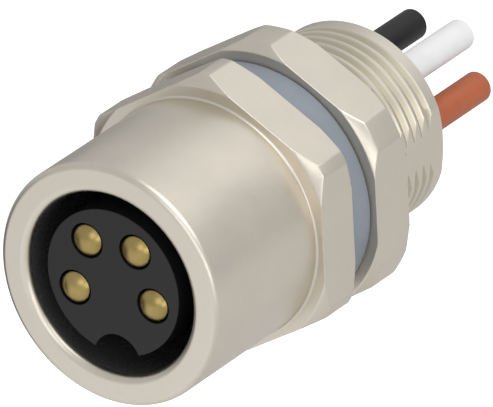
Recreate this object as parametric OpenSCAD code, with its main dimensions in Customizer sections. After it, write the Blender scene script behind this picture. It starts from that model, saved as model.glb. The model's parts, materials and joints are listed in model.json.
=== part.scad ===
// Four-pole circular sensor connector for a panel: a plated shell with a hex flange and a threaded
// shank, a moulded insert with four contacts, a seal ring, a lock nut and four short single wires.
// The axis lies along Y and the mating face looks to -Y. The origin is on the axis, in the plane of
// the flange's rear face, where the panel is clamped. Lengths are in millimetres.

/* [Barrel] */
// Outside diameter of the smooth barrel
shell_d = 9.4; // [9.2:0.1:9.8]
// Length of the barrel from its front rim to the flange
barrel_len = 6.4; // [6.2:0.1:9]
// Radius that rounds the outer edge of the front rim
rim_outer_r = 0.26; // [0.1:0.02:0.4]
// Radius that rounds the inner edge of the front rim
rim_inner_r = 0.3; // [0.1:0.05:0.3]
// Depth of the metal lip in front of the insert's sleeve
lip_len = 0.35; // [0.35:0.05:0.6]
// Radius of the small fillet where the barrel meets the flange
root_fillet_r = 0.1; // [0.04:0.02:0.2]

/* [Hex flange] */
// Width across the flats
flange_af = 10; // [9.9:0.1:12]
// Thickness along the axis
flange_t = 2; // [1.6:0.1:4]
// Diameter to which the six corners are turned
flange_corner_d = 11.3; // [11:0.1:11.5]
// Diameter where the corner chamfers meet the flat faces
flange_face_d = 10.4; // [10.1:0.1:10.8]
// Angle of the corner chamfers, against the flat faces
flange_chamfer_deg = 30; // [20:1:45]

/* [Shank] */
// Thread diameter over the crests
thread_d = 7.88; // [7.8:0.02:8.2]
// Length of the shank from the flange to its rear end
shank_len = 7.85; // [7.4:0.05:12]
// Distance from one turn of the thread to the next
thread_pitch = 0.5; // [0.4:0.05:0.75]
// Depth of the thread's grooves, which meet in sharp crests
thread_depth = 0.16; // [0.1:0.02:0.2]
// Width of each groove at its root
thread_root_w = 0.1; // [0.04:0.02:0.2]
// Least length of the plain end behind the last groove, with its chamfer
thread_plain_len = 0.55; // [0.45:0.05:1]
// Distance from the axis to the flat along one side of the thread
shank_flat = 3.73; // [3.6:0.01:3.9]
// Size of the chamfer at the rear end of the thread
thread_end_chamfer = 0.2; // [0.1:0.05:0.4]
// Diameter of the bore through the shank
shank_bore_d = 6.2; // [6:0.1:6.4]

/* [Seal ring] */
// Outside diameter
seal_d = 9.7; // [9:0.1:9.9]
// Thickness between the flange and the lock nut
seal_t = 1.35; // [0.8:0.05:2]
// Clearance all round between the seal's bore and the thread
seal_clearance = 0.05; // [0.03:0.01:0.2]

/* [Lock nut] */
// Width across the flats
nut_af = 10.2; // [10:0.1:12]
// Thickness along the axis
nut_t = 2.1; // [1.6:0.1:3]
// Diameter to which the six corners are turned
nut_corner_d = 11.15; // [11.05:0.05:11.5]
// Diameter where the corner chamfers meet the flat faces
nut_face_d = 10.5; // [10.3:0.1:10.8]
// Angle of the corner chamfers, against the flat faces
nut_chamfer_deg = 45; // [20:1:45]
// Running clearance all round between the nut's bore and the thread
nut_clearance = 0.04; // [0.02:0.01:0.08]

/* [Insert] */
// Diameter of the column that carries the contacts
insert_d = 5.7; // [5.4:0.1:5.9]
// Distance that the column's face lies behind the front rim
insert_recess = 0.3; // [0:0.05:0.6]
// Inside diameter of the socket, between the sleeve and the column
socket_d = 7.12; // [6.8:0.02:7.2]
// Outside diameter of the sleeve that lines the shell
sleeve_d = 7.9; // [7.7:0.1:8.2]
// Depth of the ring-shaped socket, measured from the column's face
socket_depth = 5.6; // [4:0.1:5.8]
// Thickness of the floor between the socket and the shell's shoulder
floor_t = 1.2; // [0.8:0.1:1.4]
// Diameter of the keyway's round bottom
keyway_d = 1.98; // [1.4:0.02:2.1]
// Distance from the axis to the centre of the keyway's curve
keyway_offset = 3.05; // [2.95:0.05:3.2]
// Length of the boss that fills the front of the shank
boss_len = 3; // [2.6:0.1:3.4]

/* [Contacts] */
// Diameter of the circle on which the contacts stand
contact_circle_d = 3.55; // [3.4:0.05:3.6]
// Diameter of a contact's front
contact_d = 1.2; // [1:0.05:1.25]
// Clearance all round between a contact and its hole
contact_gap = 0.07; // [0.04:0.01:0.1]
// Depth of the dome's edge behind the column's face
contact_recess = 0.06; // [0.02:0.02:0.3]
// Height of the domed tip
dome_h = 0.3; // [0.15:0.05:0.35]
// Diameter of the collar that keeps a contact in place
collar_d = 1.7; // [1.5:0.05:1.8]
// Length of the collar
collar_len = 0.7; // [0.5:0.05:0.9]
// Outside diameter of the solder cup
cup_d = 1.3; // [1.1:0.05:1.4]
// Bore of the solder cup
cup_bore_d = 0.8; // [0.7:0.02:0.9]
// Length of the solder cup behind the collar
cup_len = 2.6; // [2:0.1:3]
// Depth of the solder cup's bore
cup_bore_len = 1.6; // [1.2:0.1:1.8]
// Gap between the bottom of the solder cup and the end of the strands
strand_gap = 0.2; // [0.1:0.05:0.4]

/* [Rear end] */
// Thickness of the disc that holds the contacts from behind
retainer_t = 0.6; // [0.4:0.1:1]
// Distance that the potting lies in front of the shank's rear end
potting_recess = 0.3; // [0.1:0.05:0.6]
// Cross-section diameter of the inner sealing ring
ring_section_d = 0.5; // [0.4:0.05:0.55]
// How much wider the inner sealing ring's groove is than the ring
ring_play = 0.2; // [0.1:0.05:0.3]

/* [Wires] */
// Outside diameter of a wire's insulation
wire_d = 1.2; // [1.1:0.05:1.4]
// Diameter of the stranded conductor
conductor_d = 0.62; // [0.5:0.02:0.66]
// Length of wire that stands out of the shank
wire_out_len = 5.5; // [3:0.1:20]
// Bare length of conductor between the solder cup and the insulation
bare_len = 0.7; // [0.4:0.1:1.2]

/* [Hidden] */
$fn = 96;

// Five equal places go round the face: four contacts, and the keyway straight down in the fifth
pole_step = 72;
keyway_angle = -90;
angle_black = keyway_angle + 3 * pole_step;
angle_white = keyway_angle + 2 * pole_step;
angle_brown = keyway_angle + pole_step;
angle_blue = keyway_angle + 4 * pole_step;
pole_angles = [angle_black, angle_white, angle_brown, angle_blue];

// Stations along the axis, from the mating face to the rear
front_y = -flange_t - barrel_len;
column_y = front_y + insert_recess;
sleeve_y = front_y + lip_len;
floor_y = column_y + socket_depth;
shoulder_y = floor_y + floor_t;
boss_y = shoulder_y + boss_len;
collar_y = boss_y - collar_len;
retainer_y = boss_y + retainer_t;
cup_y = boss_y + cup_len;
cup_floor_y = cup_y - cup_bore_len;
insulation_y = cup_y + bare_len;
potting_y = shank_len - potting_recess;
wire_y = shank_len + wire_out_len;

// Sizes that follow from the fits
pole_r = contact_circle_d / 2;
contact_hole_d = contact_d + 2 * contact_gap;
collar_hole_d = collar_d + 2 * contact_gap;
strand_end_y = cup_floor_y + strand_gap;
dome_r = (contact_d * contact_d / 4 + dome_h * dome_h) / (2 * dome_h);
ring_groove_w = ring_section_d + ring_play;
ring_y = shoulder_y + boss_len / 4;
groove_r = shank_bore_d / 2 - ring_section_d;
overrun = 1;

// Ring grooves stand for the turns of the thread, from half a pitch behind the flange to the plain end
thread_count = floor((shank_len - thread_plain_len) / thread_pitch - 0.5);
function groove_points(y) = [
    [thread_d / 2, y - thread_pitch / 2],
    [thread_d / 2 - thread_depth, y - thread_root_w / 2],
    [thread_d / 2 - thread_depth, y + thread_root_w / 2]
];

// Colours of the finishes
nickel = [0.78, 0.76, 0.71];
gold = [0.85, 0.7, 0.35];
moulded_black = [0.13, 0.13, 0.14];
seal_blue = [0.5, 0.55, 0.62];

// Lays a shape that is drawn along Z so that it runs along Y, front end first
module on_axis(y = 0) {
    translate([0, y, 0]) rotate([-90, 0, 0]) children();
}

// Puts a shape that is drawn along Z at one of the contact places
module at_pole(angle, y) {
    translate([pole_r * cos(angle), 0, pole_r * sin(angle)]) on_axis(y) children();
}

// A plain round rod from one station to the next
module rod(d, from_y, to_y) {
    on_axis(from_y) cylinder(d = d, h = to_y - from_y);
}

// The corner of a profile that a convex radius takes away, drawn for a corner at the lower right
module corner_cut(r) {
    difference() {
        translate([-r, -overrun]) square([r + overrun, r + overrun]);
        translate([-r, r]) circle(r);
    }
}

// A hexagonal prism with two flats on +X and -X, its corners turned and chamfered at both ends
module turned_hex(across_flats, thickness, corner_d, face_d, chamfer_deg) {
    chamfer_r = (corner_d - face_d) / 2;
    chamfer_l = chamfer_r * tan(chamfer_deg);
    intersection() {
        rotate([0, 0, 30]) cylinder(d = across_flats / cos(30), h = thickness, $fn = 6);
        rotate_extrude() polygon([
            [0, 0], [face_d / 2, 0], [corner_d / 2, chamfer_l],
            [corner_d / 2, thickness - chamfer_l], [face_d / 2, thickness], [0, thickness]
        ]);
    }
}

// Half section of the barrel, drawn from the front rim to the middle of the flange
module barrel_section() {
    difference() {
        square([shell_d / 2, barrel_len + flange_t / 2]);
        translate([shell_d / 2, 0]) corner_cut(rim_outer_r);
    }
    translate([shell_d / 2, barrel_len - root_fillet_r]) difference() {
        square(root_fillet_r);
        translate([root_fillet_r, 0]) circle(root_fillet_r);
    }
}

// Half section of the solid shank, from the middle of the flange to its chamfered end
module shank_section() {
    polygon(concat(
        [[0, -flange_t / 2], [thread_d / 2, -flange_t / 2]],
        [for (i = [1 : thread_count]) each groove_points(i * thread_pitch)],
        [
            [thread_d / 2, (thread_count + 0.5) * thread_pitch],
            [thread_d / 2, shank_len - thread_end_chamfer],
            [thread_d / 2 - thread_end_chamfer, shank_len],
            [0, shank_len]
        ]
    ));
}

// Half section of the hollow through the shell: the lip with its rounded edge, the sleeve's seat
// and the bore of the shank
module shell_hollow_section() {
    lip_r = socket_d / 2;
    translate([0, -overrun]) square([lip_r, barrel_len]);
    translate([lip_r, 0]) mirror([1, 0]) corner_cut(rim_inner_r);
    translate([0, lip_len]) square([sleeve_d / 2, shoulder_y - sleeve_y]);
    square([shank_bore_d / 2, shank_len - front_y + overrun]);
}

module shell_body() {
    color(nickel) difference() {
        union() {
            on_axis(front_y) rotate_extrude() barrel_section();
            on_axis(-flange_t)
                turned_hex(flange_af, flange_t, flange_corner_d, flange_face_d, flange_chamfer_deg);
            difference() {
                on_axis() rotate_extrude() shank_section();
                translate([shank_flat, -flange_t, -thread_d / 2])
                    cube([thread_d, shank_len + 2 * flange_t, thread_d]);
            }
        }
        on_axis(front_y) rotate_extrude() shell_hollow_section();
    }
}

module lock_nut() {
    color(nickel) on_axis(seal_t) difference() {
        turned_hex(nut_af, nut_t, nut_corner_d, nut_face_d, nut_chamfer_deg);
        translate([0, 0, -overrun]) cylinder(d = thread_d + 2 * nut_clearance, h = nut_t + 2 * overrun);
    }
}

module panel_seal() {
    color(seal_blue) on_axis() difference() {
        cylinder(d = seal_d, h = seal_t);
        translate([0, 0, -overrun]) cylinder(d = thread_d + 2 * seal_clearance, h = seal_t + 2 * overrun);
    }
}

// The black lining of the socket: a cup with a thin wall and a ring-shaped floor
module socket_liner() {
    color(moulded_black) difference() {
        rod(sleeve_d, sleeve_y, shoulder_y);
        rod(socket_d, sleeve_y - overrun, floor_y);
        rod(insert_d, floor_y - overrun, shoulder_y + overrun);
    }
}

// The moulding that carries the contacts: column and boss, with a stepped hole for each contact
module contact_insert() {
    color(moulded_black) difference() {
        union() {
            difference() {
                rod(insert_d, column_y, shoulder_y);
                translate([0, 0, -keyway_offset]) rod(keyway_d, column_y - overrun, floor_y);
            }
            rod(shank_bore_d, shoulder_y, boss_y);
        }
        for (angle = pole_angles) {
            at_pole(angle, column_y - overrun) cylinder(d = contact_hole_d, h = boss_y - column_y + 2 * overrun);
            at_pole(angle, collar_y) cylinder(d = collar_hole_d, h = collar_len + overrun);
        }
        on_axis(ring_y - ring_groove_w / 2) difference() {
            cylinder(d = shank_bore_d + overrun, h = ring_groove_w);
            translate([0, 0, -overrun]) cylinder(r = groove_r, h = ring_groove_w + 2 * overrun);
        }
    }
}

module contact_retainer() {
    color([0.75, 0.73, 0.68]) difference() {
        rod(shank_bore_d, boss_y, retainer_y);
        for (angle = pole_angles)
            at_pole(angle, boss_y - overrun) cylinder(d = cup_d, h = retainer_t + 2 * overrun);
    }
}

module inner_o_ring() {
    color([0.1, 0.1, 0.1]) on_axis(ring_y) rotate_extrude()
        translate([shank_bore_d / 2 - ring_section_d / 2, 0]) circle(d = ring_section_d);
}

module potting_compound() {
    color([0.16, 0.16, 0.17]) difference() {
        rod(shank_bore_d, retainer_y, potting_y);
        for (angle = pole_angles) {
            at_pole(angle, retainer_y - overrun) cylinder(d = cup_d, h = cup_y - retainer_y + overrun);
            at_pole(angle, cup_y - overrun) cylinder(d = conductor_d, h = bare_len + 2 * overrun);
            at_pole(angle, insulation_y) cylinder(d = wire_d, h = potting_y - insulation_y + overrun);
        }
    }
}

// Half section of one contact: domed tip, pin, collar and solder cup, with the cup's bore
module contact_section() {
    dome_y = column_y + contact_recess;
    difference() {
        union() {
            intersection() {
                translate([0, dome_y + dome_r - dome_h]) circle(r = dome_r);
                translate([0, dome_y - 2 * dome_h]) square([contact_d / 2, 2.5 * dome_h]);
            }
            translate([0, dome_y]) square([contact_d / 2, collar_y - dome_y]);
            translate([0, collar_y]) square([collar_d / 2, collar_len]);
            translate([0, boss_y]) square([cup_d / 2, cup_len]);
        }
        translate([0, cup_floor_y]) square([cup_bore_d / 2, cup_bore_len + overrun]);
    }
}

// One contact, turned from one rod
module contact(angle) {
    color(gold) at_pole(angle, 0) rotate_extrude() contact_section();
}

// Solder that fills a cup round the end of its conductor
module solder(angle) {
    color([0.72, 0.73, 0.74]) difference() {
        at_pole(angle, cup_floor_y) cylinder(d = cup_bore_d, h = cup_bore_len);
        at_pole(angle, strand_end_y) cylinder(d = conductor_d, h = cup_bore_len + overrun);
    }
}

// Stranded copper, from inside the solder cup to the cut end of the wire
module conductor(angle) {
    color([0.75, 0.45, 0.3]) at_pole(angle, strand_end_y) cylinder(d = conductor_d, h = wire_y - strand_end_y);
}

module insulation(angle, tint) {
    color(tint) difference() {
        at_pole(angle, insulation_y) cylinder(d = wire_d, h = wire_y - insulation_y);
        at_pole(angle, insulation_y - overrun)
            cylinder(d = conductor_d, h = wire_y - insulation_y + 2 * overrun);
    }
}

module contact_black() { contact(angle_black); }
module contact_white() { contact(angle_white); }
module contact_brown() { contact(angle_brown); }
module contact_blue() { contact(angle_blue); }
module solder_black() { solder(angle_black); }
module solder_white() { solder(angle_white); }
module solder_brown() { solder(angle_brown); }
module solder_blue() { solder(angle_blue); }
module conductor_black() { conductor(angle_black); }
module conductor_white() { conductor(angle_white); }
module conductor_brown() { conductor(angle_brown); }
module conductor_blue() { conductor(angle_blue); }
module insulation_black() { insulation(angle_black, [0.15, 0.15, 0.16]); }
module insulation_white() { insulation(angle_white, [0.93, 0.93, 0.93]); }
module insulation_brown() { insulation(angle_brown, [0.73, 0.4, 0.27]); }
module insulation_blue() { insulation(angle_blue, [0.2, 0.4, 0.75]); }

shell_body();
lock_nut();
panel_seal();
socket_liner();
contact_insert();
contact_retainer();
inner_o_ring();
potting_compound();
contact_black();
contact_white();
contact_brown();
contact_blue();
solder_black();
solder_white();
solder_brown();
solder_blue();
conductor_black();
conductor_white();
conductor_brown();
conductor_blue();
insulation_black();
insulation_white();
insulation_brown();
insulation_blue();
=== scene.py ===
"""The looks of a panel-mount circular connector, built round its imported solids."""

import json
import math

import bpy
from mathutils import Matrix, Vector


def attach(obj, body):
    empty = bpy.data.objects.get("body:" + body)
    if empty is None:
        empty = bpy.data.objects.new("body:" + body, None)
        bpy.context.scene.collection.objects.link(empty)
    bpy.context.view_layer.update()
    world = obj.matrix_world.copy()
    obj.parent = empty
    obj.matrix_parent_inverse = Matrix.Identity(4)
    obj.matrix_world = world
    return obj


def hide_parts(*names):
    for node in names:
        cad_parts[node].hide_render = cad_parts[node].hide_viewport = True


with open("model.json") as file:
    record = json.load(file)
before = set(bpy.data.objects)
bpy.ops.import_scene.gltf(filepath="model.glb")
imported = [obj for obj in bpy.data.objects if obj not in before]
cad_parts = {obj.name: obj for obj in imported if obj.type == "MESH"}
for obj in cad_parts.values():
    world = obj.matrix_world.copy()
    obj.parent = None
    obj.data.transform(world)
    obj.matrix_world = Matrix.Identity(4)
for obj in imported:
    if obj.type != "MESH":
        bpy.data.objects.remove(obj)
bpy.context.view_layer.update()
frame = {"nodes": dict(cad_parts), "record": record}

# ---------------------------------------------------------------- sizes
# Pieces are shaped in millimetres and brought to metres when they are done.
MM = 0.001
SMOOTH = 144          # steps round the shell's, nut's and seal's turned faces
INNER = 120           # steps round the mouldings inside
FINE = 48             # steps round the contacts and wires
HELIX = 120           # steps round one turn of the thread
SHARP = 24            # degrees from which an edge is shaded sharp
MERGED = 0.0006       # corners nearer than this become one
PAST = 1              # how far one of two shapes overshoots the other in a cut

# Stations along the axis, from the mating face to the wires' ends
FRONT_Y = -8.4
FLANGE_Y = -2.0
SEAL_REAR_Y = 1.35
NUT_REAR_Y = 3.45
SHANK_END_Y = 7.85
COLUMN_Y = -8.1
SLEEVE_Y = -8.05
FLOOR_Y = -2.5
SHOULDER_Y = -1.3
COLLAR_Y = 1.0
BOSS_Y = 1.7
RETAINER_Y = 2.3
CUP_Y = 4.3
INSULATION_Y = 5.0
POTTING_Y = 7.55
WIRE_Y = 13.35

SHELL_R = 4.7
FLAT_X = 3.73
BORE_R = 3.1
SOCKET_R = 3.56
SLEEVE_R = 3.95
COLUMN_R = 2.85
POLE_R = 1.775
CONTACT_R = 0.6
WIRE_R = 0.6
STRAND_BUNDLE_R = 0.31
TAIL_R = 0.65

# Hexagons: across the flats, the turned corners' radius, the chamfer's inner radius and its angle
FLANGE_HEX = (9.996, 5.649, 5.2, 30)
NUT_HEX = (10.195, 5.574, 5.25, 45)
HEX_EDGE = 0.045
MOULD_EDGE = 0.05

THREAD_R = 3.94
THREAD_ROOT_R = 3.77
THREAD_PITCH = 0.5
THREAD_FIRST_Y = 0.3
THREAD_LAST_Y = 7.2

# The contacts' places on their circle, in degrees from +X towards +Z
POLES = {"black": 126, "white": 54, "brown": -18, "blue": 198}


# ---------------------------------------------------------------- shaping by hand
def clear_selection():
    if bpy.context.object and bpy.context.object.mode != "OBJECT":
        bpy.ops.object.mode_set(mode="OBJECT")
    bpy.ops.object.select_all(action="DESELECT")


def only(piece):
    clear_selection()
    piece.select_set(True)
    bpy.context.view_layer.objects.active = piece


def edit(piece, kind="VERT"):
    """Opens a piece in edit mode with all of it selected."""
    only(piece)
    bpy.ops.object.mode_set(mode="EDIT")
    bpy.ops.mesh.select_mode(type=kind)
    bpy.ops.mesh.select_all(action="SELECT")


def close_up(piece):
    """Merges what lies together and turns all faces outwards."""
    edit(piece)
    bpy.ops.mesh.remove_doubles(threshold=MERGED)
    bpy.ops.mesh.select_all(action="SELECT")
    bpy.ops.mesh.normals_make_consistent(inside=False)
    clear_selection()


def section_line(points):
    """Draws a half section as a line of edges, one extrusion after the other."""
    clear_selection()
    bpy.ops.mesh.primitive_plane_add(size=0.2)
    line = bpy.context.object
    bpy.ops.object.mode_set(mode="EDIT")
    bpy.ops.mesh.select_mode(type="VERT")
    bpy.ops.mesh.select_all(action="SELECT")
    bpy.ops.mesh.merge(type="CENTER")
    r, y = points[0]
    bpy.ops.transform.translate(value=(r, y, 0))
    for (r0, y0), (r1, y1) in zip(points, points[1:]):
        bpy.ops.mesh.extrude_region_move(
            TRANSFORM_OT_translate={"value": (r1 - r0, y1 - y0, 0)})
    return line


def turned(points, steps=SMOOTH):
    """A turned piece: its half section, spun once round the Y axis."""
    piece = section_line(points)
    bpy.ops.mesh.select_all(action="SELECT")
    bpy.ops.mesh.spin(steps=steps, angle=2 * math.pi, center=(0, 0, 0), axis=(0, 1, 0))
    close_up(piece)
    return piece


def arc(r, y, radius, start, end, steps):
    """Points of a rounding in a half section, about its centre, in degrees."""
    turns = [math.radians(start + (end - start) * i / steps) for i in range(steps + 1)]
    return [(r + radius * math.cos(t), y + radius * math.sin(t)) for t in turns]


def shape_with(piece, tool, operation):
    """Cuts, joins or trims a piece with a tool shape, which is used up."""
    only(piece)
    step = piece.modifiers.new("shape", "BOOLEAN")
    step.operation = operation
    step.solver = "EXACT"
    step.object = tool
    bpy.ops.object.modifier_apply(modifier=step.name)
    bpy.data.objects.remove(tool, do_unlink=True)


def soften(piece, width, angle):
    """Breaks every edge sharper than the angle with a small rounding."""
    only(piece)
    step = piece.modifiers.new("edges", "BEVEL")
    step.width = width
    step.segments = 2
    step.limit_method = "ANGLE"
    step.angle_limit = math.radians(angle)
    step.use_clamp_overlap = False
    bpy.ops.object.modifier_apply(modifier=step.name)


def tidy_flats(piece):
    """Joins the slivers that cutting leaves on flat faces."""
    edit(piece, "FACE")
    bpy.ops.mesh.dissolve_limited(angle_limit=math.radians(0.2))
    clear_selection()
    close_up(piece)


def turned_hexagon(form, front, rear):
    """Hexagon bar with flats on +X and -X, its corners turned off and chamfered."""
    across_flats, corner_r, face_r, chamfer_deg = form
    chamfer = (corner_r - face_r) * math.tan(math.radians(chamfer_deg))
    clear_selection()
    bpy.ops.mesh.primitive_cylinder_add(
        vertices=6, radius=across_flats / math.sqrt(3), depth=rear - front + 2 * PAST,
        location=(0, (front + rear) / 2, 0), rotation=(math.pi / 2, 0, 0))
    bar = bpy.context.object
    bpy.ops.object.transform_apply(location=True, rotation=True, scale=True)
    shape_with(bar, turned([
        (0, front), (face_r, front), (corner_r, front + chamfer),
        (corner_r, rear - chamfer), (face_r, rear), (0, rear)]), "INTERSECT")
    tidy_flats(bar)
    soften(bar, HEX_EDGE, angle=18)
    # No bevel reaches past the bar's own faces
    for vertex in bar.data.vertices:
        vertex.co.x = min(max(vertex.co.x, -across_flats / 2), across_flats / 2)
        vertex.co.y = min(max(vertex.co.y, front), rear)
    return bar


def at_pole(piece, angle):
    """Moves a piece from the axis to its place on the contact circle."""
    only(piece)
    turn = math.radians(angle)
    piece.location = (POLE_R * math.cos(turn), 0, POLE_R * math.sin(turn))
    bpy.ops.object.transform_apply(location=True, rotation=True, scale=True)


def copy_of(piece):
    twin = piece.copy()
    twin.data = piece.data.copy()
    bpy.context.collection.objects.link(twin)
    return twin


# ---------------------------------------------------------------- finishes
def socket_group(name, inputs, outputs):
    tree = bpy.data.node_groups.new(name, "ShaderNodeTree")
    for label, kind, value in inputs:
        made = tree.interface.new_socket(name=label, in_out="INPUT", socket_type=kind)
        if value is not None:
            made.default_value = value
    for label, kind in outputs:
        tree.interface.new_socket(name=label, in_out="OUTPUT", socket_type=kind)
    return tree, tree.nodes.new("NodeGroupInput"), tree.nodes.new("NodeGroupOutput")


def put(tree, kind, links=(), **values):
    """Adds a node. links pairs an input with the output that feeds it."""
    node = tree.nodes.new(kind)
    for key, value in values.items():
        setattr(node, key, value)
    for target, source in links:
        if hasattr(source, "is_output"):
            tree.links.new(source, node.inputs[target])
        else:
            node.inputs[target].default_value = source
    return node


FLOAT, COLOUR, VECTOR = "NodeSocketFloat", "NodeSocketColor", "NodeSocketVector"


def make_mottle():
    """Slow and quick variation mixed into one mask, and the colour that follows it."""
    tree, given, out = socket_group(
        "mottle",
        [("Place", VECTOR, None), ("Scale", FLOAT, 1.0), ("Light", COLOUR, None),
         ("Dark", COLOUR, None)],
        [("Colour", COLOUR), ("Mask", FLOAT)])
    slow = put(tree, "ShaderNodeTexNoise", [
        ("Vector", given.outputs["Place"]), ("Scale", given.outputs["Scale"]), ("Detail", 2.0)])
    faster = put(tree, "ShaderNodeMath", [(0, given.outputs["Scale"]), (1, 7.3)], operation="MULTIPLY")
    quick = put(tree, "ShaderNodeTexNoise", [
        ("Vector", given.outputs["Place"]), ("Scale", faster.outputs[0]), ("Detail", 3.0)])
    both = put(tree, "ShaderNodeMix", [
        (0, 0.35), (2, slow.outputs["Fac"]), (3, quick.outputs["Fac"])], data_type="FLOAT")
    mask = put(tree, "ShaderNodeMapRange", [
        ("Value", both.outputs[0]), ("From Min", 0.33), ("From Max", 0.67)])
    tint = put(tree, "ShaderNodeMix", [
        (0, mask.outputs[0]), (6, given.outputs["Dark"]), (7, given.outputs["Light"])], data_type="RGBA")
    tree.links.new(tint.outputs[2], out.inputs["Colour"])
    tree.links.new(mask.outputs[0], out.inputs["Mask"])
    return tree


def make_lathe_marks():
    """Fine rings left by a turning tool: lines round the axis on every turned face."""
    tree, given, out = socket_group(
        "lathe_marks", [("Place", VECTOR, None), ("Scale", FLOAT, 9.0)], [("Height", FLOAT)])
    parts = put(tree, "ShaderNodeSeparateXYZ", [(0, given.outputs["Place"])])
    across = put(tree, "ShaderNodeCombineXYZ", [("X", parts.outputs["X"]), ("Y", parts.outputs["Z"])])
    radius = put(tree, "ShaderNodeVectorMath", [(0, across.outputs[0])], operation="LENGTH")
    ring = put(tree, "ShaderNodeCombineXYZ", [
        ("X", radius.outputs["Value"]), ("Y", parts.outputs["Y"])])
    lines = put(tree, "ShaderNodeTexNoise", [
        ("Vector", ring.outputs[0]), ("Scale", given.outputs["Scale"]), ("Detail", 4.0),
        ("Roughness", 0.65)])
    tree.links.new(lines.outputs["Fac"], out.inputs["Height"])
    return tree


def make_moulded_skin():
    """The fine orange-peel of a moulded or cast face."""
    tree, given, out = socket_group(
        "moulded_skin", [("Place", VECTOR, None), ("Scale", FLOAT, 12.0)], [("Height", FLOAT)])
    grain = put(tree, "ShaderNodeTexNoise", [
        ("Vector", given.outputs["Place"]), ("Scale", given.outputs["Scale"]), ("Detail", 5.0),
        ("Roughness", 0.6)])
    cells = put(tree, "ShaderNodeTexVoronoi", [
        ("Vector", given.outputs["Place"]), ("Scale", given.outputs["Scale"])], feature="SMOOTH_F1")
    both = put(tree, "ShaderNodeMix", [
        (0, 0.3), (2, grain.outputs["Fac"]), (3, cells.outputs["Distance"])], data_type="FLOAT")
    tree.links.new(both.outputs[0], out.inputs["Height"])
    return tree


def make_drawn_lines():
    """Faint lines along the axis, as an extruded jacket or a drawn strand has."""
    tree, given, out = socket_group(
        "drawn_lines", [("Place", VECTOR, None), ("Scale", FLOAT, 8.0)], [("Height", FLOAT)])
    long = put(tree, "ShaderNodeMapping", [("Vector", given.outputs["Place"]), ("Scale", (1, 0.06, 1))])
    lines = put(tree, "ShaderNodeTexNoise", [
        ("Vector", long.outputs[0]), ("Scale", given.outputs["Scale"]), ("Detail", 4.0)])
    tree.links.new(lines.outputs["Fac"], out.inputs["Height"])
    return tree


def make_groove_shade():
    """Masks the thread's grooves for painted shade: the surface under the crests, but not the flat that
    cuts them.
    """
    crest_r, groove_r = THREAD_R - 0.02, THREAD_R - 0.07
    start_y, beside_flat = 0.1, FLAT_X - 0.004
    tree, given, out = socket_group("groove_shade", [("Place", VECTOR, None)], [("Mask", FLOAT)])
    parts = put(tree, "ShaderNodeSeparateXYZ", [(0, given.outputs["Place"])])
    across = put(tree, "ShaderNodeCombineXYZ", [("X", parts.outputs["X"]), ("Y", parts.outputs["Z"])])
    radius = put(tree, "ShaderNodeVectorMath", [(0, across.outputs[0])], operation="LENGTH")
    depth = put(tree, "ShaderNodeMapRange", [
        ("Value", radius.outputs["Value"]), ("From Min", crest_r), ("From Max", groove_r),
        ("To Min", 0.0), ("To Max", 1.0)])
    mask = depth
    for axis, test, limit in (("Y", "GREATER_THAN", start_y), ("Y", "LESS_THAN", THREAD_LAST_Y),
                              ("X", "LESS_THAN", beside_flat)):
        within = put(tree, "ShaderNodeMath", [(0, parts.outputs[axis]), (1, limit)], operation=test)
        mask = put(tree, "ShaderNodeMath", [
            (0, mask.outputs[0]), (1, within.outputs[0])], operation="MULTIPLY")
    tree.links.new(mask.outputs[0], out.inputs["Mask"])
    return tree


MOTTLE = make_mottle()
LATHE_MARKS = make_lathe_marks()
MOULDED_SKIN = make_moulded_skin()
DRAWN_LINES = make_drawn_lines()
PAINTED_GROOVE_SHADE = make_groove_shade()


def finish(name, light, dark, patch, skin, skin_scale, skin_depth, smooth, rough,
           metallic=0.0, coat=0.0, specular=0.5, shaded=None):
    """A surface: two close colours in patches, a fine relief, and gloss that varies with the patches.

    patch is the patches' scale per millimetre, skin the relief's group with its scale, and
    skin_depth the relief's height in metres. smooth and rough are the limits of the roughness.
    shaded is a mask group and the colour that the surface has where the mask holds, as painted shade.
    """
    material = bpy.data.materials.new(name)
    material.use_nodes = True
    tree = material.node_tree
    tree.nodes.clear()
    place = put(tree, "ShaderNodeTexCoord")
    measured = put(tree, "ShaderNodeMapping", [
        ("Vector", place.outputs["Object"]), ("Scale", (1 / MM, 1 / MM, 1 / MM))])
    patches = put(tree, "ShaderNodeGroup", node_tree=MOTTLE)
    tree.links.new(measured.outputs[0], patches.inputs["Place"])
    patches.inputs["Scale"].default_value = patch
    patches.inputs["Light"].default_value = (*light, 1)
    patches.inputs["Dark"].default_value = (*dark, 1)
    relief = put(tree, "ShaderNodeGroup", node_tree=skin)
    tree.links.new(measured.outputs[0], relief.inputs["Place"])
    relief.inputs["Scale"].default_value = skin_scale
    colour = patches.outputs["Colour"]
    if shaded:
        group, tint = shaded
        mask = put(tree, "ShaderNodeGroup", node_tree=group)
        tree.links.new(measured.outputs[0], mask.inputs["Place"])
        colour = put(tree, "ShaderNodeMix", [
            (0, mask.outputs["Mask"]), (6, colour), (7, (*tint, 1))], data_type="RGBA").outputs[2]
    gloss = put(tree, "ShaderNodeMapRange", [
        ("Value", patches.outputs["Mask"]), ("To Min", smooth), ("To Max", rough)])
    bump = put(tree, "ShaderNodeBump", [
        ("Height", relief.outputs["Height"]), ("Strength", 1.0), ("Distance", skin_depth)])
    shader = put(tree, "ShaderNodeBsdfPrincipled", [
        ("Base Color", colour), ("Roughness", gloss.outputs[0]),
        ("Metallic", metallic), ("Coat Weight", coat), ("Specular IOR Level", specular),
        ("Normal", bump.outputs[0])])
    put(tree, "ShaderNodeOutputMaterial", [("Surface", shader.outputs[0])])
    return material


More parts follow.
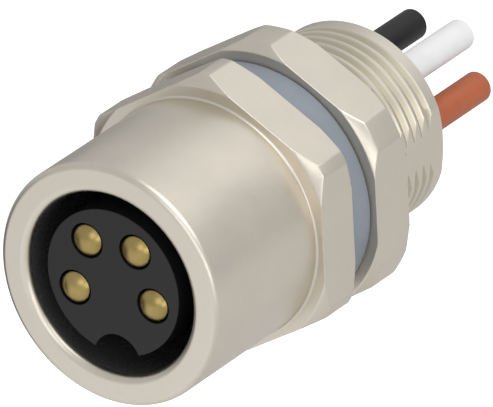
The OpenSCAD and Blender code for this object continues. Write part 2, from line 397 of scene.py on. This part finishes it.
FINISHES = {
    # The satin nickel is painted darker in the thread's grooves: painted shade
    "nickel_plate": finish(
        "satin_nickel", (0.71, 0.659, 0.574), (0.675, 0.626, 0.545), 0.5, LATHE_MARKS, 14.0, 0.0000016,
        0.33, 0.4, metallic=1.0, shaded=(PAINTED_GROOVE_SHADE, (0.56, 0.51, 0.4))),
    "seal_rubber": finish(
        "blue_grey_rubber", (0.262, 0.29, 0.33), (0.24, 0.266, 0.303), 1.2, MOULDED_SKIN, 16.0, 0.000006,
        0.62, 0.72, specular=0.3),
    "insert_black": finish(
        "black_moulding", (0.011, 0.011, 0.012), (0.009, 0.009, 0.01), 1.0, MOULDED_SKIN, 18.0, 0.000004,
        0.3, 0.38, specular=0.33),
    "retainer_natural": finish(
        "natural_moulding", (0.62, 0.59, 0.5), (0.56, 0.53, 0.44), 1.0, MOULDED_SKIN, 14.0, 0.000004,
        0.4, 0.5),
    "o_ring_rubber": finish(
        "nitrile_rubber", (0.02, 0.02, 0.02), (0.014, 0.014, 0.014), 1.4, MOULDED_SKIN, 18.0, 0.000004,
        0.5, 0.6),
    "potting_black": finish(
        "cast_resin", (0.024, 0.024, 0.026), (0.017, 0.017, 0.019), 0.8, MOULDED_SKIN, 2.2, 0.00003,
        0.16, 0.28, coat=0.3),
    "contact_gold": finish(
        "gold_plate", (0.43, 0.325, 0.125), (0.36, 0.27, 0.09), 2.0, LATHE_MARKS, 30.0, 0.0000008,
        0.3, 0.36, metallic=1.0, coat=0.15),
    "solder_tin": finish(
        "set_solder", (0.6, 0.61, 0.62), (0.48, 0.49, 0.5), 3.0, MOULDED_SKIN, 8.0, 0.00001,
        0.25, 0.42, metallic=1.0),
    "strand_copper": finish(
        "bare_copper", (0.82, 0.42, 0.24), (0.66, 0.3, 0.15), 3.0, DRAWN_LINES, 40.0, 0.000001,
        0.26, 0.4, metallic=1.0),
    "insulation_black": finish(
        "black_jacket", (0.012, 0.012, 0.013), (0.009, 0.009, 0.01), 1.3, DRAWN_LINES, 10.0, 0.000004,
        0.4, 0.5, specular=0.3),
    "insulation_white": finish(
        "white_jacket", (0.8, 0.8, 0.8), (0.75, 0.75, 0.75), 1.3, DRAWN_LINES, 10.0, 0.000004,
        0.4, 0.5),
    "insulation_brown": finish(
        "brown_jacket", (0.45, 0.107, 0.034), (0.39, 0.089, 0.027), 1.3, DRAWN_LINES, 10.0, 0.000004,
        0.4, 0.5),
    "insulation_blue": finish(
        "blue_jacket", (0.05, 0.16, 0.55), (0.04, 0.13, 0.47), 1.3, DRAWN_LINES, 10.0, 0.000004,
        0.4, 0.5),
}

# The liner is the same moulding compound with a glossier wall; its paler colour is a painted reflection,
# standing in for the light that the socket wall mirrors
PAINTED_REFLECTION_LINING = finish(
    "black_lining_painted_reflection", (0.05, 0.05, 0.052), (0.045, 0.045, 0.047), 1.0, MOULDED_SKIN, 18.0, 0.0000008,
    0.24, 0.3, specular=0.6)

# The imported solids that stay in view, such as the solder, take the finish of their slot
for part in frame["record"]["subparts"]:
    for place in frame["nodes"][part["node"]].material_slots:
        place.material = FINISHES[part["material_slot"]]


def complete(name, piece, body, slot, *nodes, surface=None):
    """Brings a piece to metres, shades it, finishes it and puts it on its body.

    The surface is the slot's own finish unless another is named.
    """
    only(piece)
    piece.scale = (MM, MM, MM)
    bpy.ops.object.transform_apply(location=True, rotation=True, scale=True)
    bpy.ops.object.shade_smooth_by_angle(angle=math.radians(SHARP))
    even = piece.modifiers.new("even", "WEIGHTED_NORMAL")
    even.keep_sharp = True
    bpy.ops.object.modifier_apply(modifier=even.name)
    piece.name = piece.data.name = name
    piece.data.materials.clear()
    piece.data.materials.append(surface or FINISHES[slot])
    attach(piece, body)
    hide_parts(*nodes)


def at_each_pole(pattern, name, node, slot=None):
    """Completes a copy of a pattern at each contact's place and drops the pattern.

    The slot is named after the node and the colour unless all copies share one.
    """
    for colour, angle in POLES.items():
        placed = copy_of(pattern)
        at_pole(placed, angle)
        covered = node + "_" + colour
        complete(name + "_" + colour, placed, "connector", slot or covered, covered)
    bpy.data.objects.remove(pattern, do_unlink=True)


# ---------------------------------------------------------------- the shell
def threaded_rod():
    """A rod with a right-hand thread, a little too long at both ends."""
    turns, first = 23, -4.5 * THREAD_PITCH
    fade_in, fade_out, fade_end = 0.3, 0.2, 0.02
    front_cut, rear_cut = -1.2, 8.4
    # One groove: the part of a pitch at which its crests and its root begin and end
    groove = ((THREAD_R, 0.09), (THREAD_ROOT_R, 0.42), (THREAD_ROOT_R, 0.58), (THREAD_R, 0.91))
    section = [(THREAD_R, first)]
    for turn in range(turns):
        base = first + turn * THREAD_PITCH
        section += [(r, base + part * THREAD_PITCH) for r, part in groove]
    section.append((THREAD_R, first + turns * THREAD_PITCH))
    rod = section_line(section)
    only(rod)
    helix = rod.modifiers.new("helix", "SCREW")
    helix.axis = "Y"
    helix.steps = helix.render_steps = HELIX
    helix.screw_offset = THREAD_PITCH
    helix.use_merge_vertices = False
    bpy.ops.object.modifier_apply(modifier=helix.name)
    # The groove fades in behind the flange and out before the plain end of the shank
    for vertex in rod.data.vertices:
        x, y, z = vertex.co
        r = math.hypot(x, z)
        fade = min(max((y - THREAD_LAST_Y + fade_out + fade_end) / fade_out, 0), 1)
        fade = max(fade, min(max((THREAD_FIRST_Y + fade_in - y) / fade_in, 0), 1))
        grown = (r + (THREAD_R - r) * fade) / r
        vertex.co = (x * grown, y, z * grown)
    edit(rod)
    bpy.ops.mesh.remove_doubles(threshold=MERGED)
    for station, facing in ((front_cut, 1), (rear_cut, -1)):
        bpy.ops.mesh.select_all(action="SELECT")
        bpy.ops.mesh.bisect(plane_co=(0, station, 0), plane_no=(0, facing, 0),
                            use_fill=True, clear_inner=True)
    bpy.ops.mesh.select_all(action="SELECT")
    bpy.ops.mesh.bisect(plane_co=(FLAT_X, 0, 0), plane_no=(-1, 0, 0), use_fill=True, clear_inner=True)
    close_up(rod)
    return rod


def make_shell():
    rim_out, rim_in, lip_end, root_fillet, end_chamfer = 0.26, 0.3, FRONT_Y + 0.35, 0.1, 0.12
    # The barrel and the shank both end inside the flange, where they are joined
    sunk, barrel_end_y, shank_start_y = 0.02, -1, -1.1
    trim_r, cone_length, cone_drop, step_ahead = 4.6, 0.8, 0.2, 0.001
    barrel = turned(
        [(0, FRONT_Y)]
        + arc(SHELL_R - rim_out, FRONT_Y + rim_out, rim_out, -90, 0, 8)
        + arc(SHELL_R + root_fillet, FLANGE_Y - root_fillet, root_fillet, 180, 92, 5)
        + [(SHELL_R + root_fillet, FLANGE_Y + sunk), (SHELL_R + root_fillet, barrel_end_y),
           (0, barrel_end_y)])
    flange = turned_hexagon(FLANGE_HEX, FLANGE_Y, 0)
    shank = threaded_rod()
    # A cone trims the shank's end
    shape_with(shank, turned([
        (0, shank_start_y), (trim_r, shank_start_y), (trim_r, SHANK_END_Y - cone_length),
        (THREAD_R - cone_drop, SHANK_END_Y), (0, SHANK_END_Y)]), "INTERSECT")
    shape_with(flange, shank, "UNION")
    shape_with(flange, barrel, "UNION")
    hollow = turned(
        [(0, FRONT_Y - PAST), (SOCKET_R + rim_in, FRONT_Y - PAST),
         (SOCKET_R + rim_in, FRONT_Y - step_ahead)]
        + arc(SOCKET_R + rim_in, FRONT_Y + rim_in, rim_in, -90, -180, 8)
        + [(SOCKET_R, lip_end), (SLEEVE_R, lip_end), (SLEEVE_R, SHOULDER_Y),
           (BORE_R, SHOULDER_Y), (BORE_R, SHANK_END_Y - end_chamfer),
           (BORE_R + end_chamfer, SHANK_END_Y), (BORE_R + end_chamfer, SHANK_END_Y + PAST),
           (0, SHANK_END_Y + PAST)])
    shape_with(flange, hollow, "DIFFERENCE")
    tidy_flats(flange)
    complete("turned_shell", flange, "connector", "nickel_plate", "shell_body")


def make_nut():
    nut = turned_hexagon(NUT_HEX, SEAL_REAR_Y, NUT_REAR_Y)
    lead = 0.1
    bore_r = THREAD_R + 0.04
    shape_with(nut, turned([
        (0, SEAL_REAR_Y - PAST), (bore_r + lead, SEAL_REAR_Y - PAST), (bore_r + lead, SEAL_REAR_Y),
        (bore_r, SEAL_REAR_Y + lead), (bore_r, NUT_REAR_Y - lead), (bore_r + lead, NUT_REAR_Y),
        (bore_r + lead, NUT_REAR_Y + PAST), (0, NUT_REAR_Y + PAST)]), "DIFFERENCE")
    tidy_flats(nut)
    complete("hex_lock_nut", nut, "lock_nut", "nickel_plate", "lock_nut")


def make_seal():
    inner, outer, edge, inner_break = THREAD_R + 0.05, 4.85, 0.1, 0.05
    ring = turned(
        [(inner, inner_break), (inner + inner_break, 0)]
        + arc(outer - edge, edge, edge, -90, 0, 4)
        + arc(outer - edge, SEAL_REAR_Y - edge, edge, 0, 90, 4)
        + [(inner + inner_break, SEAL_REAR_Y), (inner, SEAL_REAR_Y - inner_break),
           (inner, inner_break)])
    complete("moulded_seal_ring", ring, "connector", "seal_rubber", "panel_seal")


# ---------------------------------------------------------------- insert and contacts
def make_liner():
    liner = turned([
        (COLUMN_R, FLOOR_Y), (SOCKET_R, FLOOR_Y), (SOCKET_R, SLEEVE_Y), (SLEEVE_R, SLEEVE_Y),
        (SLEEVE_R, SHOULDER_Y), (COLUMN_R, SHOULDER_Y), (COLUMN_R, FLOOR_Y)], INNER)
    soften(liner, MOULD_EDGE, angle=40)
    complete(
        "socket_lining", liner, "connector", "insert_black", "socket_liner", surface=PAINTED_REFLECTION_LINING)


def make_insert():
    groove_y, groove_w, groove_depth = SHOULDER_Y + 0.75, 0.7, 0.5
    keyway_r, keyway_z, keyway_length, keyway_steps = 0.99, -3.05, 8, 72
    insert = turned([
        (0, COLUMN_Y), (COLUMN_R, COLUMN_Y), (COLUMN_R, SHOULDER_Y), (BORE_R, SHOULDER_Y),
        (BORE_R, groove_y - groove_w / 2), (BORE_R - groove_depth, groove_y - groove_w / 2),
        (BORE_R - groove_depth, groove_y + groove_w / 2), (BORE_R, groove_y + groove_w / 2),
        (BORE_R, BOSS_Y), (0, BOSS_Y)], INNER)
    clear_selection()
    bpy.ops.mesh.primitive_cylinder_add(
        vertices=keyway_steps, radius=keyway_r, depth=keyway_length,
        location=(0, FLOOR_Y - keyway_length / 2, keyway_z), rotation=(math.pi / 2, 0, 0))
    keyway = bpy.context.object
    bpy.ops.object.transform_apply(location=True, rotation=True, scale=True)
    shape_with(insert, keyway, "DIFFERENCE")
    hole_r, collar_r = CONTACT_R + 0.07, 0.92
    for angle in POLES.values():
        hole = turned([
            (0, COLUMN_Y - PAST), (hole_r, COLUMN_Y - PAST), (hole_r, COLLAR_Y),
            (collar_r, COLLAR_Y), (collar_r, BOSS_Y + PAST), (0, BOSS_Y + PAST)], FINE)
        at_pole(hole, angle)
        shape_with(insert, hole, "DIFFERENCE")
    tidy_flats(insert)
    soften(insert, MOULD_EDGE, angle=40)
    complete("keyed_insert", insert, "connector", "insert_black", "contact_insert")


def make_contacts():
    """One turned contact, then a copy for each place."""
    recess, rise, collar_r, cup_r, cup_depth = 0.06, 0.3, 0.85, 0.4, 1.6
    collar_lead, collar_break, tail_break, cup_break = 0.1, 0.06, 0.05, 0.03
    front = COLUMN_Y + recess
    dome_r = (CONTACT_R ** 2 + rise ** 2) / (2 * rise)
    reach = math.degrees(math.asin(CONTACT_R / dome_r))
    cup_floor = CUP_Y - cup_depth
    contact = turned(
        arc(0, front - rise + dome_r, dome_r, -90, -90 + reach, 10)
        + [(CONTACT_R, COLLAR_Y - collar_lead), (collar_r, COLLAR_Y),
           (collar_r, BOSS_Y - collar_break), (collar_r - collar_break, BOSS_Y),
           (TAIL_R, BOSS_Y), (TAIL_R, CUP_Y - tail_break), (TAIL_R - tail_break, CUP_Y),
           (cup_r + cup_break, CUP_Y), (cup_r, CUP_Y - cup_break),
           (cup_r, cup_floor), (0, cup_floor)], FINE)
    at_each_pole(contact, "turned_contact", "contact", "contact_gold")


# ---------------------------------------------------------------- wires and resin
def make_jackets():
    inner_break, outer_break, end_round = 0.02, 0.03, 0.07
    jacket = turned(
        [(STRAND_BUNDLE_R, INSULATION_Y), (WIRE_R - outer_break, INSULATION_Y),
         (WIRE_R, INSULATION_Y + outer_break)]
        + arc(WIRE_R - end_round, WIRE_Y - end_round, end_round, 0, 90, 4)
        + [(STRAND_BUNDLE_R + inner_break, WIRE_Y), (STRAND_BUNDLE_R, WIRE_Y - inner_break),
           (STRAND_BUNDLE_R, INSULATION_Y)], FINE)
    at_each_pole(jacket, "jacket", "insulation")


def make_strands():
    """Nineteen drawn strands, laid with a twist: one, then six, then twelve round it."""
    strand_r, start, lay_length, pieces, stagger = 0.06, CUP_Y - 1.4, 7.0, 20, 0.012
    lay = 2 * math.pi / lay_length
    places = [(0, 0)]
    for count, away in ((6, 0.124), (12, 0.245)):
        places += [(away * math.cos(2 * math.pi * (i + 0.5) / count),
                    away * math.sin(2 * math.pi * (i + 0.5) / count)) for i in range(count)]
    strands = []
    for number, (x, z) in enumerate(places):
        # The cut leaves the strands' ends at slightly different stations
        end = WIRE_Y - stagger * (number * 7 % 5)
        clear_selection()
        bpy.ops.mesh.primitive_circle_add(
            vertices=8, radius=strand_r, fill_type="NGON", location=(x, start, z),
            rotation=(math.pi / 2, 0, 0))
        strand = bpy.context.object
        bpy.ops.object.transform_apply(location=True, rotation=True, scale=True)
        edit(strand, "FACE")
        for _ in range(pieces):
            bpy.ops.mesh.extrude_region_move(
                TRANSFORM_OT_translate={"value": (0, (end - start) / pieces, 0)})
        clear_selection()
        for vertex in strand.data.vertices:
            px, py, pz = vertex.co
            turn = (py - start) * lay
            vertex.co = (px * math.cos(turn) - pz * math.sin(turn), py,
                         px * math.sin(turn) + pz * math.cos(turn))
        strands.append(strand)
    clear_selection()
    for strand in strands:
        strand.select_set(True)
    bpy.context.view_layer.objects.active = strands[0]
    bpy.ops.object.join()
    bundle = bpy.context.object
    edit(bundle)
    bpy.ops.mesh.normals_make_consistent(inside=False)
    clear_selection()
    at_each_pole(bundle, "strands", "conductor", "strand_copper")


def make_resin():
    """Cast resin that creeps up the wall of the bore and up each wire."""
    rings, creep, band = 26, 0.16, 0.5
    surface = [(BORE_R * i / rings, POTTING_Y - creep) for i in range(rings, -1, -1)]
    resin = turned([(0, RETAINER_Y), (BORE_R, RETAINER_Y)] + surface, INNER)
    centres = [(POLE_R * math.cos(math.radians(a)), POLE_R * math.sin(math.radians(a)))
               for a in POLES.values()]
    for vertex in resin.data.vertices:
        x, y, z = vertex.co
        if y > POTTING_Y - band:
            gaps = [max(math.hypot(x - cx, z - cz) - WIRE_R, 0) for cx, cz in centres]
            gaps.append(BORE_R - math.hypot(x, z))
            climb = sum(math.exp(-gap / creep) for gap in gaps)
            vertex.co.y = POTTING_Y - creep + creep * min(climb, 1)
    # The crept surface isn't flat, so it is cut as triangles
    edit(resin, "FACE")
    bpy.ops.mesh.quads_convert_to_tris()
    clear_selection()
    for angle in POLES.values():
        core = turned([
            (0, RETAINER_Y - PAST), (TAIL_R, RETAINER_Y - PAST), (TAIL_R, CUP_Y),
            (STRAND_BUNDLE_R, CUP_Y), (STRAND_BUNDLE_R, INSULATION_Y), (WIRE_R, INSULATION_Y),
            (WIRE_R, POTTING_Y + PAST), (0, POTTING_Y + PAST)], FINE)
        at_pole(core, angle)
        shape_with(resin, core, "DIFFERENCE")
    close_up(resin)
    complete("cast_resin_fill", resin, "connector", "potting_black", "potting_compound")


# ---------------------------------------------------------------- camera, floor and light
def make_camera():
    """A long lens from the front right, looking down, with the axis tipped a little in the view."""
    azimuth, elevation, roll = map(math.radians, (35.16, 24.75, -3.19))
    aim, distance = Vector((3.409, -4.384, 2.331)) * MM, 0.4108
    back = Vector((math.sin(azimuth) * math.cos(elevation),
                   -math.cos(azimuth) * math.cos(elevation), math.sin(elevation)))
    level = Vector((math.cos(azimuth), math.sin(azimuth), 0))
    rise = back.cross(level)
    right = level * math.cos(roll) + rise * math.sin(roll)
    up = back.cross(right)
    data = bpy.data.cameras.new("camera")
    data.sensor_width = 36
    data.lens = 839.7
    data.clip_start, data.clip_end = 0.01, 10
    camera = bpy.data.objects.new("camera", data)
    bpy.context.collection.objects.link(camera)
    pose = Matrix((right, up, back)).transposed().to_4x4()
    pose.translation = aim + back * distance
    camera.matrix_world = pose
    bpy.context.scene.camera = camera


# Directions of the room as the part's faces mirror it for the camera: the flats at the upper
# right, the flats at the upper left, the front faces, and the left of the domed contacts
ABOVE_BEHIND = (0.1, 0.74, 0.66)
REAR_LEFT = (-0.629, 0.737, -0.246)
FRONT_LEFT = (-0.523, -0.742, -0.419)
LEFT = (-0.88, -0.3, -0.37)


def spot(tree, way, direction, start, end, before, beyond):
    """A value that goes from before to beyond as a way nears the direction, by the two's cosine."""
    towards = put(tree, "ShaderNodeVectorMath", [(0, way), (1, direction)], operation="DOT_PRODUCT")
    return put(tree, "ShaderNodeMapRange", [
        ("Value", towards.outputs["Value"]), ("From Min", start), ("From Max", end),
        ("To Min", before), ("To Max", beyond)], interpolation_type="SMOOTHSTEP")


def product(tree, first, second):
    return put(tree, "ShaderNodeMath", [(0, first), (1, second)], operation="MULTIPLY")


def darker_sides(tree, way, even, dark):
    """A grey that falls from its even value towards the dark rear left and the dark left of the room."""
    rear = spot(tree, way, REAR_LEFT, start=0.7, end=1.0, before=1.0, beyond=dark / even)
    left = spot(tree, way, LEFT, start=0.87, end=1.0, before=1.0, beyond=0.02)
    both = product(tree, rear.outputs[0], left.outputs[0])
    return product(tree, both.outputs[0], even)


def make_floor():
    """A pale floor, white to the camera itself and uneven in what the part mirrors."""
    width, height = 6, -0.016
    clear_selection()
    bpy.ops.mesh.primitive_plane_add(size=width, location=(0, 0, height))
    floor = bpy.context.object
    floor.name = "floor"
    bpy.ops.object.transform_apply(location=True, rotation=True, scale=True)
    material = bpy.data.materials.new("pale_floor")
    material.use_nodes = True
    tree = material.node_tree
    tree.nodes.clear()
    place = put(tree, "ShaderNodeNewGeometry")
    way = put(tree, "ShaderNodeVectorMath", [(0, place.outputs["Position"])], operation="NORMALIZE")
    shade = darker_sides(tree, way.outputs[0], even=0.69, dark=0.3)
    lift = spot(tree, way.outputs[0], FRONT_LEFT, start=0.3, end=0.95, before=1.0, beyond=1.4)
    tone = product(tree, shade.outputs[0], lift.outputs[0])
    body = put(tree, "ShaderNodeBsdfDiffuse", [("Color", tone.outputs[0])])
    path = put(tree, "ShaderNodeLightPath")
    glow = put(tree, "ShaderNodeEmission", [
        ("Color", (1, 1, 1, 1)), ("Strength", path.outputs["Is Camera Ray"])])
    both = put(tree, "ShaderNodeAddShader", [(0, body.outputs[0]), (1, glow.outputs[0])])
    put(tree, "ShaderNodeOutputMaterial", [("Surface", both.outputs[0])])
    floor.data.materials.append(material)


def make_lamp(name, where, size, power):
    """A round soft box, placed in millimetres and turned to the part."""
    data = bpy.data.lights.new(name, "AREA")
    data.shape = "DISK"
    data.size = size * MM
    data.energy = power
    lamp = bpy.data.objects.new(name, data)
    bpy.context.collection.objects.link(lamp)
    lamp.location = Vector(where) * MM
    lamp.rotation_mode = "QUATERNION"
    lamp.rotation_quaternion = lamp.location.to_track_quat("Z", "Y")


def make_surroundings():
    """An even pale room, brighter behind and above the part."""
    world = bpy.data.worlds.new("pale_room")
    bpy.context.scene.world = world
    world.use_nodes = True
    tree = world.node_tree
    tree.nodes.clear()
    place = put(tree, "ShaderNodeTexCoord")
    way = put(tree, "ShaderNodeVectorMath", [(0, place.outputs["Generated"])], operation="NORMALIZE")
    level = spot(tree, way.outputs[0], ABOVE_BEHIND, start=0.84, end=1.0, before=0.64, beyond=0.95)
    shade = darker_sides(tree, way.outputs[0], even=1.0, dark=0.78)
    room = product(tree, level.outputs[0], shade.outputs[0])
    path = put(tree, "ShaderNodeLightPath")
    seen = put(tree, "ShaderNodeMix", [
        (0, path.outputs["Is Camera Ray"]), (2, room.outputs[0]), (3, 1.0)], data_type="FLOAT")
    sky = put(tree, "ShaderNodeBackground", [("Color", (1, 1, 1, 1)), ("Strength", seen.outputs[0])])
    put(tree, "ShaderNodeOutputWorld", [("Surface", sky.outputs[0])])
    make_lamp("key_softbox", where=(115, 8, 187), size=220, power=0.22)
    make_lamp("front_fill", where=(75, -172, 78), size=120, power=0.045)
    make_lamp("low_fill", where=(152, -112, 6), size=90, power=0.04)


make_camera()
make_shell()
make_nut()
make_seal()
make_liner()
make_insert()
make_contacts()
make_jackets()
make_strands()
make_resin()
make_floor()
make_surroundings()
bpy.context.scene.view_settings.view_transform = "Standard"

clear_selection()
